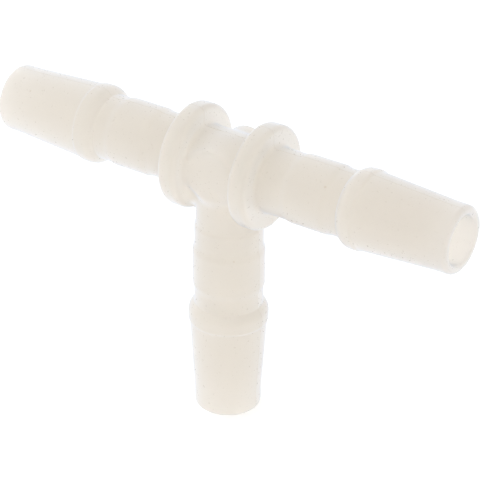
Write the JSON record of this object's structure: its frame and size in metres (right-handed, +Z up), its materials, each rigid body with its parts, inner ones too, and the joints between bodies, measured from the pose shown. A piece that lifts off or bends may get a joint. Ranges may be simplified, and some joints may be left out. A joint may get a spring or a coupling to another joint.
{
  "type": "barbed tee connector",
  "caption": "Moulded tee hose connector: straight run with a collar and a long tapered hose barb at each side, and a barbed branch without a collar at right angles; translucent white plastic.",
  "frame": {"origin": "where the axis of the run crosses the axis of the branch, in the middle of the hub", "axes": "+X along the run towards the right barb, branch pointing down along -Z, +Z up, +Y to the back"},
  "size_m": [0.0734, 0.0148, 0.0454],
  "materials": {
    "natural_plastic": "satin, natural unpigmented polypropylene, slightly translucent"
  },
  "bodies": {
    "root": {"hub": "natural_plastic", "left_collar": "natural_plastic", "right_collar": "natural_plastic", "left_neck": "natural_plastic", "right_neck": "natural_plastic", "branch_neck": "natural_plastic", "left_barb": "natural_plastic", "right_barb": "natural_plastic", "branch_barb": "natural_plastic"}
  },
  "joints": []
}
